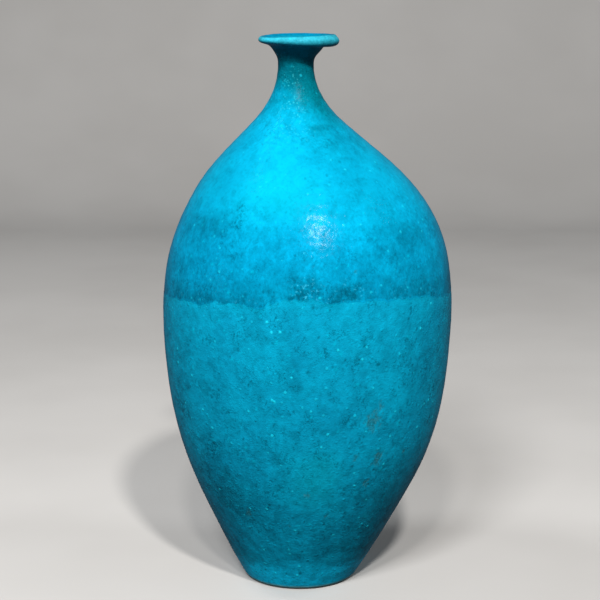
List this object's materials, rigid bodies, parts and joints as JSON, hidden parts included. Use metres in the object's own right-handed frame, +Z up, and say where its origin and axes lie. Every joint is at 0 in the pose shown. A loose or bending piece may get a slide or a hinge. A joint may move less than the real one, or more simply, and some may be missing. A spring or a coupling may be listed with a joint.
{
  "type": "bottle vase",
  "caption": "Tall ceramic bottle vase with a narrow foot, egg-shaped belly, slim neck and flat flared lip, glazed turquoise.",
  "frame": {"origin": "centre of the foot, on the plane the vase stands on", "axes": "+Z up through the mouth; -Y is the side that faces the viewer in the reference view; +X to that viewer's right"},
  "size_m": [0.22, 0.22, 0.4172],
  "materials": {
    "clay": "fired buff stoneware, bare on the foot ring, under the glaze elsewhere",
    "joining_slip": "fired joining slip",
    "lower_coat": "satin turquoise glaze, gritty and mottled",
    "upper_coat": "satin turquoise glaze, smoother, streaked dark above the glaze line",
    "liner_coat": "thin dark turquoise liner glaze"
  },
  "bodies": {
    "root": {"base_section": "clay", "waist_slip_joint": "joining_slip", "shoulder_section": "clay", "neck_slip_joint": "joining_slip", "neck_section": "clay", "lower_glaze": "lower_coat", "upper_glaze": "upper_coat", "inner_glaze": "liner_coat"}
  },
  "joints": []
}
